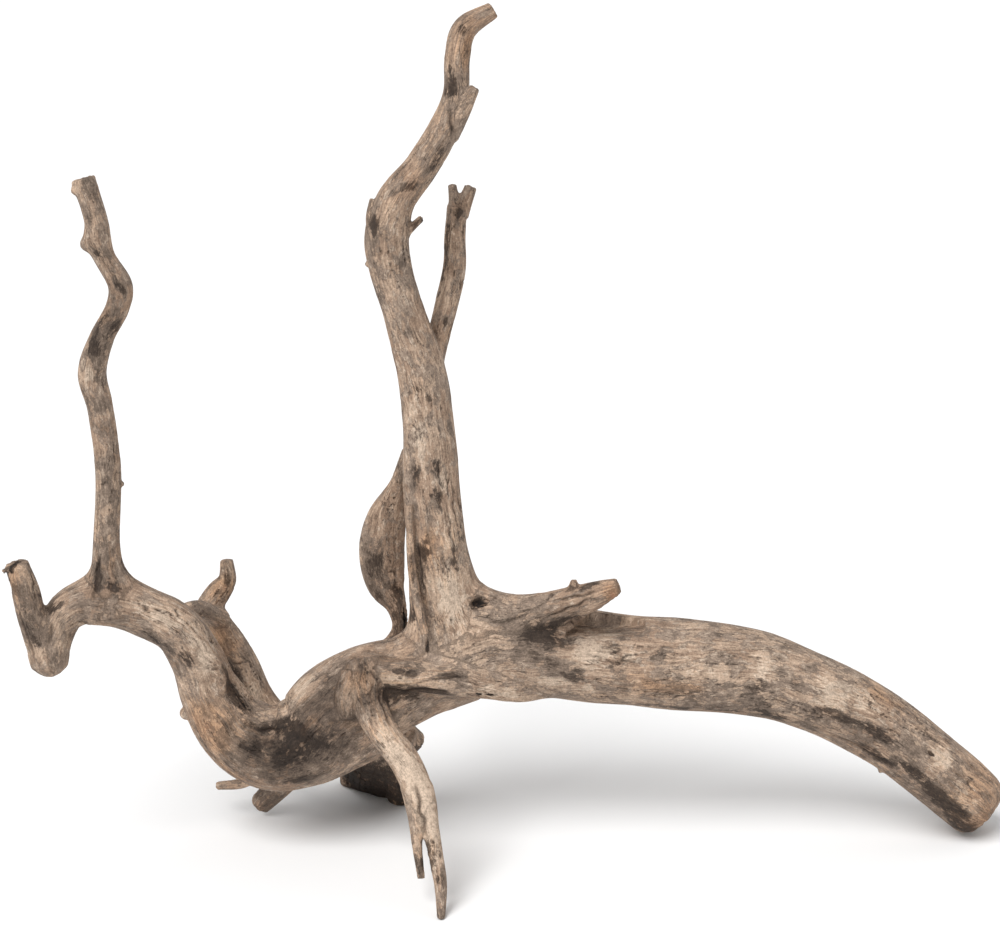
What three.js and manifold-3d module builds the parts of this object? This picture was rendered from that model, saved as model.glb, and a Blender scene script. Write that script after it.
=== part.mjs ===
// A dry tree root, bleached and bare, grown as one piece and standing on its own feet.
// From the crown where everything meets, a thick arm sweeps to the right and down to the ground,
// a tall stem with a thin second branch rises, and a belly curls to the left into an arched neck
// that carries a thin upright and ends in a hook. A slim forked leg stands in front and a buttress
// stands behind. The origin is at the middle of the footprint on the ground, in millimetres, +Z up.

import * as THREE from "three";
import { mergeVertices } from "three/addons/utils/BufferGeometryUtils.js";
import Module from "manifold-3d";

// ---- Driving dimensions ----

const RING_SPACING = 14; // aimed distance between the rings of a limb
const THICK_SIDES = 14; // facets round the arm, the belly and the stem
const THIN_SIDES = 10; // facets round the thin branches
const TWIG_SIDES = 8; // facets round twigs and toes
const GROUND_Z = 0; // the feet are worn flat at this height
const WOOD = { color: 0x94806f, roughness: 0.88, metalness: 0 };

// Each limb is a row of stations [x, y, z, half width across, half depth front to back].

// the crown and the arm, which bends over and comes down to the ground
const ARM = [
  [-48, 12, 120, 21, 20], [-12, 12, 130, 27, 24], [30, 12, 127, 28.5, 27], [65, 14, 121.5, 28, 28],
  [110, 16, 116, 28, 28], [149, 16, 111, 26, 26], [180, 15, 100, 24.5, 24.5], [223, 15, 77, 23, 23],
  [268, 16, 41, 22, 22], [292, 17, 19, 21, 21], [310, 18, 2, 20, 20],
];
// the arm was broken off square: a point of the break and the way it faces
const ARM_BREAK = { at: [298, 17, 16], facing: [0.8, -0.37, -0.47] };

const STEM = [
  [-36, 15, 120, 31, 17], [-48, 13, 182, 19.5, 17.5], [-52.5, 15, 225, 17.5, 16], [-54.5, 17, 270, 16, 15],
  [-58.5, 18, 305, 14.5, 14], [-68, 16, 340, 12.5, 12.5], [-75.5, 13, 368, 12.5, 12],
  [-77.5, 10, 388, 13, 12.5], [-72, 7, 410, 11.5, 11.5], [-57, 7, 430, 9.8, 9.8],
  [-43.5, 9, 453, 8.8, 9], [-37, 12, 472, 7.5, 7.5], [-36, 15, 492, 7.4, 7.4], [-32, 17, 507, 7.3, 7.3],
  [-15.5, 20, 518, 5, 5],
];
// a torn sliver that stands off the stem where a branch was
const STEM_SPUR = [[-42, 9, 450, 7.5, 7], [-34, 7, 462, 5.5, 5.5], [-26, 5, 476, 3, 2.5]];
const STEM_TWIG = [[-67, 8, 391, 3, 3], [-62, 5, 396, 2.3, 2.3], [-57, 3, 401, 2, 2]];

// the second branch leaves the stem at the back and ends in two lobes
const BRANCH = [
  [-57, 25, 290, 8, 8], [-51, 32, 314, 7, 7], [-44, 37, 340, 7, 7], [-39, 41, 363, 6.8, 6.8],
  [-38.5, 43, 382, 6.5, 6.5], [-37, 44, 399, 5.8, 5.8],
];
const BRANCH_LOBE_LEFT = [[-38, 44, 395, 4, 4], [-40, 44, 412.5, 2.6, 2.6]];
const BRANCH_LOBE_RIGHT = [[-35, 44, 395, 4.8, 4.8], [-29, 45, 411, 3.8, 3.8]];

// a thin strap of wood bows out behind the foot of the stem and comes back to it
const STRAP = [
  [-68, 24, 254, 3, 3], [-74, 30, 231, 5, 4.5], [-81.5, 34, 207, 12, 6], [-85, 37, 184, 14, 7],
  [-82.5, 37, 162, 12, 6.5], [-76, 34, 148, 6.5, 5], [-74, 29, 136, 5, 5], [-79, 24, 123, 8, 7],
];

// the belly, the neck, the arch, and the bend where it turns back up
const NECK = [
  [-30, 12, 118, 20, 18], [-62, 12, 110, 26, 24], [-88, 12, 100, 32, 31], [-110, 11, 86, 34, 33],
  [-132, 10, 69, 29, 29], [-155, 8, 65, 28, 26], [-176, 5, 79, 22.5, 22], [-190, 2, 105, 18, 18],
  [-197, 0, 128, 16.5, 16.5], [-209, -2, 149, 16, 16], [-226, -4, 159, 15, 15],
  [-248, -6, 167, 13, 13], [-263, -7, 168, 12.5, 12.5], [-274, -8, 161, 12, 12],
  [-280, -9, 149, 11, 11], [-285.5, -10, 132, 10.2, 10.2],
];
const HOOK_BEND = [-285.5, -10, 131, 10.2]; // x, y, z, radius
const HOOK = [
  [-285.5, -10, 131, 10.2, 10.2], [-290, -12, 147, 9.5, 9.5], [-293.5, -15, 164, 8.8, 9],
  [-295.5, -18, 181, 8.5, 8], [-299, -21, 197, 7.5, 6.5],
];

// the thin upright that stands on the arch
const UPRIGHT = [
  [-245, -5, 164, 15, 15], [-248, -4, 195, 9, 9], [-245, 0, 250, 8, 8], [-248.5, 3, 288, 7.8, 7.8],
  [-252, 4, 308, 8.3, 8.3], [-245, 4, 330, 7.2, 7.2], [-235, 3, 348, 7, 7], [-232.5, 2, 361, 7.2, 7.2],
  [-241, 3, 378, 6.2, 6.2], [-244.5, 4, 388, 7.6, 7.6], [-245, 5, 399, 6.8, 6.8],
  [-251.5, 6, 423.5, 7, 7],
];

// a root that climbs behind the neck, with its stub and the ridge that ties it to the neck
const BACK_ROOT = [
  [-150, 36, 58, 14, 14], [-168, 47, 80, 13, 13], [-177, 54, 100, 12, 12], [-186, 58, 119, 10, 10],
  [-197, 60, 137, 8, 8],
];
const BACK_STUB = [
  [-197, 60, 138, 8, 8], [-190, 62, 147, 8, 8], [-184.5, 64, 155, 6, 6], [-184.5, 65, 168, 4, 4],
];
const BACK_RIDGE = [[-188, 56, 131, 6, 6], [-199, 34, 147, 5.5, 5.5], [-209, 9, 153, 5.5, 5.5]];

// the front leg, split near the ground into a long toe and a short one that hangs free
const LEG = [
  [-95, -4, 127, 12, 11], [-89.5, -22, 104, 10, 10], [-80, -32, 90, 9.4, 9.4],
  [-70, -39, 79, 9.4, 8.8], [-62, -47, 65, 9, 8], [-58, -55, 51, 7.6, 6], [-57, -60, 42, 4, 3.4],
];
const LONG_TOE = [
  [-58, -48, 64, 4.8, 5.4], [-54.4, -57, 50, 5, 4.8], [-50.5, -69, 32, 4.8, 4.4], [-47, -80, 17, 4, 3.6],
  [-46.5, -92, -1, 2.4, 2.6],
];
const SHORT_TOE = [
  [-66, -48, 64, 4.6, 5], [-63, -57, 50, 4.1, 4], [-61.3, -67, 36, 3.1, 3], [-58.5, -77, 19, 2.3, 2],
];
// the ridge that carries on from the top of the leg along the front of the crown
const FRONT_RIDGE = [
  [-96, -3, 120, 12, 12], [-74, -10, 121, 10, 9], [-46, -11, 120, 10, 9], [-20, -8, 115, 10, 9],
  [4, -2, 110, 9, 8], [28, 6, 112, 7, 7],
];
const LEG_KNUCKLE = [[-100, -9, 121, 9, 8], [-104.5, -18, 107, 6.6, 6], [-104, -22, 98, 3.4, 3.4]];

// a broken side shoot on top of the crown, leaning to the right and thicker at its end
const SNAG = [
  [-24, 8, 152, 18, 15], [-4, 5, 153, 15, 12], [14, 1, 159, 11, 9], [32, -5, 167, 9.5, 7.5],
  [49, -8, 172, 10, 7], [60, -10, 176, 8.5, 6],
];
// it tore off at a slant, so its end looks down and to the right
const SNAG_BREAK = { at: [53, -10, 168], facing: [0.62, -0.25, -0.74] };
const SNAG_NUB = [[32, -5, 172, 4, 4], [33, -6, 181, 2.2, 2.2]];

// the buttress behind the leg: ribs that spread to a row of feet on the ground
const BUTTRESS_RIBS = [
  [[-93, 28, 66, 14, 13], [-103, 58, 34, 11, 10], [-109, 88, 8, 8.5, 8], [-110, 92, -3, 8, 7.5]],
  [[-88, 26, 66, 14, 13], [-95, 52, 34, 12, 11], [-99, 83, 6, 10, 9], [-100, 88, -3, 10, 8]],
  [[-82, 26, 66, 14, 12], [-86, 48, 35, 12, 11], [-88, 76, 6, 10, 9], [-88, 81, -3, 10, 8]],
  [[-76, 24, 66, 11, 10], [-76, 42, 35, 11, 10], [-76, 63, 6, 9, 8], [-76, 67, -3, 9, 8]],
];
const BUTTRESS_LOBE = [[-76, 28, 68, 9, 9], [-64, 35, 56, 6.5, 7]];

const REAR_TWIG = [[-155, 20, 48, 5, 5], [-176, 34, 28, 3.4, 3.4], [-193, 42, 22, 2.6, 2.6]];
const REAR_STUB = [[-138, 26, 44, 9, 9], [-154, 38, 23, 8, 8], [-166, 45, 8, 7, 7]];

// ---- Shapes ----

const wasm = await Module();
wasm.setup();

const DEPTH = new THREE.Vector3(0, 1, 0); // front to back

function solidOf(geometry) {
  geometry.deleteAttribute("normal");
  geometry.deleteAttribute("uv");
  const merged = mergeVertices(geometry, 1e-4);
  return new wasm.Manifold(
    new wasm.Mesh({
      numProp: 3,
      vertProperties: merged.getAttribute("position").array,
      triVerts: new Uint32Array(merged.index.array),
    }),
  );
}

// A limb is a closed cylinder bent along a smooth path through its stations. Its sections are
// ellipses whose width lies in the XZ plane, square to the path.
function limb(stations, sides) {
  const path = new THREE.CatmullRomCurve3(
    stations.map(([x, y, z]) => new THREE.Vector3(x, y, z)),
    false,
    "centripetal",
  );
  const girth = new THREE.CatmullRomCurve3(
    stations.map(([, , , wide, deep]) => new THREE.Vector3(wide, deep, 0)),
    false,
    "catmullrom",
  );
  const spans = stations.length - 1;
  const rings = spans * Math.max(1, Math.round(path.getLength() / spans / RING_SPACING));
  const tube = new THREE.CylinderGeometry(1, 1, 1, sides, rings);
  const corners = tube.getAttribute("position");
  for (let i = 0; i < corners.count; i++) {
    const t = THREE.MathUtils.clamp(0.5 - corners.getY(i), 0, 1);
    const centre = path.getPoint(t);
    const along = path.getTangent(t);
    const across = new THREE.Vector3().crossVectors(along, DEPTH).normalize();
    const deep = new THREE.Vector3().crossVectors(along, across);
    const size = girth.getPoint(t);
    centre
      .addScaledVector(across, corners.getX(i) * size.x)
      .addScaledVector(deep, corners.getZ(i) * size.y);
    corners.setXYZ(i, centre.x, centre.y, centre.z);
  }
  return solidOf(tube);
}

function knob([x, y, z, radius]) {
  return solidOf(new THREE.SphereGeometry(radius, THIN_SIDES, 10).translate(x, y, z));
}

// a block that covers everything beyond a point, in the direction it faces
function beyond(at, facing, reach) {
  const block = new THREE.BoxGeometry(reach, reach, reach).translate(0, 0, reach / 2);
  const turn = new THREE.Quaternion().setFromUnitVectors(
    new THREE.Vector3(0, 0, 1),
    new THREE.Vector3(...facing).normalize(),
  );
  return solidOf(block.applyQuaternion(turn).translate(...at));
}

function joined(solids) {
  return solids.reduce((all, one) => all.add(one));
}

// ---- The root ----

const arm = limb(ARM, THICK_SIDES).subtract(beyond(ARM_BREAK.at, ARM_BREAK.facing, 90));
const snag = limb(SNAG, THIN_SIDES).subtract(beyond(SNAG_BREAK.at, SNAG_BREAK.facing, 60));

const grown = joined([
  arm,
  limb(STEM, THICK_SIDES),
  limb(STEM_SPUR, TWIG_SIDES),
  limb(STEM_TWIG, TWIG_SIDES),
  limb(BRANCH, THIN_SIDES),
  limb(BRANCH_LOBE_LEFT, TWIG_SIDES),
  limb(BRANCH_LOBE_RIGHT, TWIG_SIDES),
  limb(STRAP, THIN_SIDES),
  limb(NECK, THICK_SIDES),
  knob(HOOK_BEND),
  limb(HOOK, THIN_SIDES),
  limb(UPRIGHT, THIN_SIDES),
  limb(BACK_ROOT, THIN_SIDES),
  limb(BACK_STUB, TWIG_SIDES),
  limb(BACK_RIDGE, TWIG_SIDES),
  limb(LEG, THIN_SIDES),
  limb(LONG_TOE, TWIG_SIDES),
  limb(SHORT_TOE, TWIG_SIDES),
  limb(FRONT_RIDGE, THIN_SIDES),
  limb(LEG_KNUCKLE, TWIG_SIDES),
  snag,
  limb(SNAG_NUB, TWIG_SIDES),
  ...BUTTRESS_RIBS.map((rib) => limb(rib, THIN_SIDES)),
  limb(BUTTRESS_LOBE, TWIG_SIDES),
  limb(REAR_TWIG, TWIG_SIDES),
  limb(REAR_STUB, TWIG_SIDES),
]);

const worn = grown.subtract(beyond([0, 0, GROUND_Z], [0, 0, -1], 1400));

const surface = worn.getMesh();
const geometry = new THREE.BufferGeometry();
geometry.setAttribute("position", new THREE.BufferAttribute(surface.vertProperties, 3));
geometry.setIndex(new THREE.BufferAttribute(surface.triVerts, 1));
geometry.computeVertexNormals();

const root = new THREE.Mesh(geometry, new THREE.MeshStandardMaterial(WOOD));
root.name = "driftwood_root";

const group = new THREE.Group();
group.add(root);

export default group;
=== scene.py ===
"""A dry driftwood root: one piece of weathered wood, on a pale studio floor.

The wood is one mesh. Each limb is a profile, an ellipse, carried along a smooth path. The limbs are
joined as one distance field with soft fillets, small nubs are added to it, and breaks and hollows are
cut out of it. The field's zero surface becomes the mesh: the root's outside, two small voids that the
limbs close in, and a loose speck that is cut off at the tip of the hook. The grain and the drying
cracks are pressed into that mesh along its normals. Every vertex keeps where it lies on its limb,
along and across the grain, and the wood material draws its fibres and stains in those coordinates.
Lengths in the tables are millimetres.
"""

import math

import bpy
import numpy as np
import openvdb
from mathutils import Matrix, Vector


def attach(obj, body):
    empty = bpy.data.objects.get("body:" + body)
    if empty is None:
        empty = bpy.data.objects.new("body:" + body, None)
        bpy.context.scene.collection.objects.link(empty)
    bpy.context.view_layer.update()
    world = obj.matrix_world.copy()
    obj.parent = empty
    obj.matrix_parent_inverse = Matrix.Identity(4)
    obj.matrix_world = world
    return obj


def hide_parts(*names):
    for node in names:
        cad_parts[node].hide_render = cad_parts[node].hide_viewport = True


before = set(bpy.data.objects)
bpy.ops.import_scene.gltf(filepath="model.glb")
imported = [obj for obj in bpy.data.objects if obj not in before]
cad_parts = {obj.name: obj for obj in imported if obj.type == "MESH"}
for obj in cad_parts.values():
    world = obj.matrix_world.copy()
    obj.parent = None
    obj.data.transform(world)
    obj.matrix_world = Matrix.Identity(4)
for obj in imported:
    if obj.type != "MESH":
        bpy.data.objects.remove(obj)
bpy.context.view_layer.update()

bl_info = {
    "name": "Driftwood root",
    "version": (1, 0, 0),
    "blender": (4, 5, 0),
    "location": "3D View > Sidebar > Driftwood",
    "description": "Grows a weathered driftwood root and a studio around it",
    "category": "Object",
}

NODE = "driftwood_root"
MM = 0.001

# Working sizes, in mm except for the two counts
PATH_STEPS = 24  # points of the curve between two stations
PATH_SPACING = 1.6  # between the points of a finished path
LIMB_MARGIN = 14  # a limb is left out where a point is this far outside its box
BALL_MARGIN = 12  # the same for a nub
FAR = 30.0  # the field where no limb is near
FIELD_LIMIT = 9.0  # the field is cut off at this distance before it becomes a mesh
GRID_MARGIN = 8  # the grid goes this far past the limbs
GRID_FLOOR = -4  # the lowest height of the grid, under the ground
COARSE = 4  # fine cells along each side of a coarse block
GROUND_GAP = 0.3  # the wood stops this far above the ground
RELIEF_FADE = (0.4, 3.0)  # the relief starts and is whole at these heights above the ground
HOLLOW_RIM = 0.8  # the fillet at the rim of a hollow
GRAIN_BLEND = 7  # the grain of two limbs is blended where their distances differ by less
GRAIN_SHIFT = 400  # between the starts of limbs in grain coordinates, so that their patterns differ
MARK_DEPTH = 11  # how far a stain reaches under and over the surface
CRACK_REACH = 9  # how far a drying crack reaches under and over it

# ---------------------------------------------------------------------------------------------
# The root's limbs
# ---------------------------------------------------------------------------------------------
# name: (fillet to the limbs before it, twist in radians per 100 mm, roughness of its skin, stations)
# A station is x, y, z, half width across, half depth front to back.

LIMBS = {
    "arm": (12, 0.25, 0.55, [
        (-48, 12, 120, 21, 20), (-12, 12, 130, 27, 24), (30, 12, 127, 28.5, 27),
        (65, 14, 121.5, 28, 28), (110, 16, 116, 28, 28), (149, 16, 111, 26, 26),
        (180, 15, 100, 24.5, 24.5), (223, 15, 77, 23, 23), (268, 16, 41, 22, 22), (292, 17, 19, 21, 21),
        (310, 18, 2, 20, 20)]),
    "neck": (12, 0.3, 1.1, [
        (-30, 12, 118, 20, 18), (-62, 12, 110, 26, 24), (-88, 12, 100, 32, 31), (-110, 11, 86, 34, 33),
        (-132, 10, 69, 29, 29), (-155, 8, 65, 28, 26), (-176, 5, 79, 22.5, 22), (-190, 2, 105, 18, 18),
        (-197, 0, 128, 16.5, 16.5), (-209, -2, 149, 16, 16), (-226, -4, 159, 15, 15),
        (-248, -6, 167, 13, 13), (-263, -7, 168, 12.5, 12.5), (-274, -8, 161, 12, 12),
        (-280, -9, 149, 11, 11), (-285.5, -10, 132, 10.2, 10.2)]),
    "stem": (20, 0.35, 0.8, [
        (-36, 15, 120, 31, 17), (-48, 13, 182, 19.5, 17.5), (-52.5, 15, 225, 17.5, 16),
        (-54.5, 17, 270, 16, 15), (-58.5, 18, 305, 14.5, 14), (-68, 16, 340, 12.5, 12.5),
        (-75.5, 13, 368, 12.5, 12), (-77.5, 10, 388, 13, 12.5), (-72, 7, 410, 11.5, 11.5),
        (-57, 7, 430, 9.8, 9.8), (-43.5, 9, 453, 8.8, 9), (-37, 12, 472, 7.5, 7.5),
        (-36, 15, 492, 7.4, 7.4), (-32, 17, 507, 7.3, 7.3), (-15.5, 20, 518, 5, 5)]),
    "stem_spur": (4, 0, 0.7, [
        (-42, 9, 450, 7.5, 7), (-34, 7, 462, 5.5, 5.5), (-26, 5, 476, 3, 2.5)]),
    "stem_twig": (2, 0, 0.4, [
        (-67, 8, 391, 3, 3), (-62, 5, 396, 2.3, 2.3), (-57, 3, 401, 2, 2)]),
    "branch": (6, 0.3, 0.8, [
        (-57, 25, 290, 8, 8), (-51, 32, 314, 7, 7), (-44, 37, 340, 7, 7), (-39, 41, 363, 6.8, 6.8),
        (-38.5, 43, 382, 6.5, 6.5), (-37, 44, 399, 5.8, 5.8)]),
    "branch_lobe_left": (3, 0, 0.5, [
        (-38, 44, 395, 4, 4), (-40, 44, 412.5, 2.6, 2.6)]),
    "branch_lobe_right": (3, 0, 0.5, [
        (-35, 44, 395, 4.8, 4.8), (-29, 45, 411, 3.8, 3.8)]),
    "strap": (2, 0.2, 0.9, [
        (-68, 24, 254, 3, 3), (-74, 30, 231, 5, 4.5), (-81.5, 34, 207, 12, 6), (-85, 37, 184, 14, 7),
        (-82.5, 37, 162, 12, 6.5), (-76, 34, 148, 6.5, 5), (-74, 29, 136, 5, 5), (-79, 24, 123, 8, 7)]),
    "hook": (4, 0.2, 0.9, [
        (-285.5, -10, 131, 10.2, 10.2), (-290, -12, 147, 9.5, 9.5), (-293.5, -15, 164, 8.8, 9),
        (-295.5, -18, 181, 8.5, 8), (-299, -21, 197, 7.5, 6.5)]),
    "upright": (14, 0.5, 0.8, [
        (-245, -5, 164, 15, 15), (-248, -4, 195, 9, 9), (-245, 0, 250, 8, 8),
        (-248.5, 3, 288, 7.8, 7.8), (-252, 4, 308, 8.3, 8.3), (-245, 4, 330, 7.2, 7.2),
        (-235, 3, 348, 7, 7), (-232.5, 2, 361, 7.2, 7.2), (-241, 3, 378, 6.2, 6.2),
        (-244.5, 4, 388, 7.6, 7.6), (-245, 5, 399, 6.8, 6.8), (-251.5, 6, 423.5, 7, 7)]),
    "back_root": (1.5, 0.3, 1.0, [
        (-150, 36, 58, 14, 14), (-168, 47, 80, 13, 13), (-177, 54, 100, 12, 12),
        (-186, 58, 119, 10, 10), (-197, 60, 137, 8, 8)]),
    "back_stub": (4, 0.2, 0.7, [
        (-197, 60, 138, 8, 8), (-190, 62, 147, 8, 8), (-184.5, 64, 155, 6, 6), (-184.5, 65, 168, 4, 4)]),
    "back_ridge": (4, 0, 0.8, [
        (-188, 56, 131, 6, 6), (-199, 34, 147, 5.5, 5.5), (-209, 9, 153, 5.5, 5.5)]),
    "leg": (3.5, 0.3, 0.4, [
        (-95, -4, 127, 12, 11), (-89.5, -22, 104, 10, 10), (-80, -32, 90, 9.4, 9.4),
        (-70, -39, 79, 9.4, 8.8), (-62, -47, 65, 9, 8), (-58, -55, 51, 7.6, 6), (-57, -60, 42, 4, 3.4)]),
    "long_toe": (5, 0, 0.3, [
        (-58, -48, 64, 4.8, 5.4), (-54.4, -57, 50, 5, 4.8), (-50.5, -69, 32, 4.8, 4.4),
        (-47, -80, 17, 4, 3.6), (-46.5, -92, -1, 2.4, 2.6)]),
    "short_toe": (3, 0, 0.4, [
        (-66, -48, 64, 4.6, 5), (-63, -57, 50, 4.1, 4), (-61.3, -67, 36, 3.1, 3), (-58.5, -77, 19, 2.3, 2)]),
    "front_ridge": (4, 0.2, 0.9, [
        (-96, -3, 120, 12, 12), (-74, -10, 121, 10, 9), (-46, -11, 120, 10, 9), (-20, -8, 115, 10, 9),
        (4, -2, 110, 9, 8), (28, 6, 112, 7, 7)]),
    "leg_knuckle": (4, 0, 0.7, [
        (-100, -9, 121, 9, 8), (-104.5, -18, 107, 6.6, 6), (-104, -22, 98, 3.4, 3.4)]),
    "snag": (10, 0.3, 1.0, [
        (-24, 8, 152, 18, 15), (-4, 5, 153, 15, 12), (14, 1, 159, 11, 9), (32, -5, 167, 9.5, 7.5),
        (49, -8, 172, 10, 7), (60, -10, 176, 8.5, 6)]),
    "snag_nub": (2, 0, 0.4, [
        (32, -5, 172, 4, 4), (33, -6, 181, 2.2, 2.2)]),
    "buttress_a": (4, 0.2, 1.1, [
        (-93, 28, 66, 14, 13), (-103, 58, 34, 11, 10), (-109, 88, 8, 8.5, 8), (-110, 92, -3, 8, 7.5)]),
    "buttress_b": (4, 0.2, 1.4, [
        (-88, 26, 66, 14, 13), (-95, 52, 34, 12, 11), (-99, 83, 6, 10, 9), (-100, 88, -3, 10, 8)]),
    "buttress_c": (4, 0.2, 1.1, [
        (-82, 26, 66, 14, 12), (-86, 48, 35, 12, 11), (-88, 76, 6, 10, 9), (-88, 81, -3, 10, 8)]),
    "buttress_d": (4, 0.2, 1.1, [
        (-76, 24, 66, 11, 10), (-76, 42, 35, 11, 10), (-76, 63, 6, 9, 8), (-76, 67, -3, 9, 8)]),
    "buttress_lobe": (4, 0, 1.0, [
        (-76, 28, 68, 9, 9), (-64, 35, 56, 6.5, 7)]),
    "rear_twig": (3, 0, 0.5, [
        (-155, 20, 48, 5, 5), (-176, 34, 28, 3.4, 3.4), (-193, 42, 22, 2.6, 2.6)]),
    "rear_stub": (4, 0.2, 0.8, [
        (-138, 26, 44, 9, 9), (-154, 38, 23, 8, 8), (-166, 45, 8, 7, 7)]),
    "stem_flap": (1.2, 0, 0.4, [
        (-83, 6, 387, 4, 3), (-86, 5, 400, 3.4, 2.6), (-85.5, 5, 412, 1.5, 1.2)]),
    "stem_lamella": (1.5, 0, 0.4, [
        (-66, 2, 226, 2, 3), (-65, -2, 196, 3, 4), (-62, -6, 170, 3, 4.5), (-57, -9, 148, 2.4, 3)]),
    "neck_fold": (3, 0.2, 1.0, [
        (-208, -10, 146, 4, 4), (-192, -11, 134, 5, 5), (-181.5, -9, 121, 4.6, 4.6),
        (-183, -10, 108, 3.6, 3.6)]),
}

# the ball that closes the bend between neck and hook: centre, radius, fillet
BENDS = [((-285.5, -10, 131), 10.2, 5)]

# breaks: a point of the broken face, the way it faces, how far its edge is rounded, and its reach
BREAKS = [((299, 17, 15), (0.76, -0.34, -0.55), 14, 60), ((53, -10, 168), (0.62, -0.25, -0.74), 3, 24)]

# Everything below is placed on a limb: its name, the station (2.5 is halfway between the third and
# the fourth), and the side in degrees, 0 at the front and 90 to the left of the way the limb grows.

# nubs: radius, fillet
NUBS = [
    ("upright", 1.85, -85, 2.0, 1.0), ("stem", 6.3, 86, 1.6, 0.8), ("neck", 6.8, 80, 3.4, 1.5),
    ("arm", 7.35, -72, 1.8, 1.2), ("upright", 9.0, 60, 3.0, 5.0),
    ("upright", 10.8, 62, 2.2, 2.5), ("upright", 10.85, -48, 2.4, 2.5), ("hook", 3.9, 70, 2.6, 1.0),
]

# hollows: turn from the limb's direction in degrees, half length, half width
HOLLOWS = [
    ("snag", 0.12, 48, 25, 4, 2.3), ("stem", 0.35, 32, 70, 4, 1.8), ("strap", 5.6, 60, 0, 9, 1.7),
    ("neck", 7.5, -60, 4, 6, 0.9), ("neck", 6.6, -66, 6, 9, 1.2), ("long_toe", 2.0, -80, 0, 8, 1.2),
    ("front_ridge", 3.05, -28, 10, 2, 1.2), ("front_ridge", 2.8, -30, 15, 2, 1.1),
    ("arm", 7.55, 28, 12, 2.6, 1.2), ("hook", 3.5, 72, 0, 8, 2.4), ("hook", 3.95, 20, 0, 2, 2.0),
    ("neck", 2.95, 2, 60, 2, 0.9), ("snag", 4.9, -20, 0, 1, 1.3),
]

# drying cracks: turn, half length, half width, depth
CRACKS = [
    ("neck", 13.9, -12, 10, 7, 1.0, 1.6), ("neck", 5.7, -46, 18, 12, 0.9, 1.6),
    ("neck", 7.9, -34, 50, 5, 0.6, 0.8), ("front_ridge", 1.9, 8, 12, 17, 0.6, 0.9),
    ("front_ridge", 1.4, -42, 2, 22, 1.3, 1.6), ("leg", 1.2, 62, -8, 12, 1.1, 1.6),
    ("stem", 1.1, 36, 0, 20, 0.8, 1.3), ("stem", 1.6, -34, 2, 20, 0.6, 0.8),
    ("arm", 2.05, 62, 8, 12, 0.7, 1.0), ("snag", 2.9, -6, 4, 20, 0.9, 1.4),
    ("snag", 3.2, 34, -3, 16, 0.7, 1.0), ("arm", 1.1, 50, 10, 14, 0.7, 0.9),
    ("leg", 4.9, 0, 0, 17, 1.0, 2.4), ("back_root", 2.2, -10, 60, 4, 0.6, 0.7),
    ("arm", 6.9, -34, 4, 26, 0.9, 1.0), ("upright", 0.8, 28, 0, 16, 0.7, 1.2),
    ("hook", 1.6, 25, 3, 16, 0.7, 0.9), ("leg_knuckle", 0.5, 62, 0, 9, 1.1, 1.6),
    ("stem", 10.2, -20, 25, 8, 0.9, 1.4), ("leg", 0.45, 42, 25, 6, 0.9, 1.3),
    ("leg", 0.7, 22, -30, 5, 0.7, 0.9),
]

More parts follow.
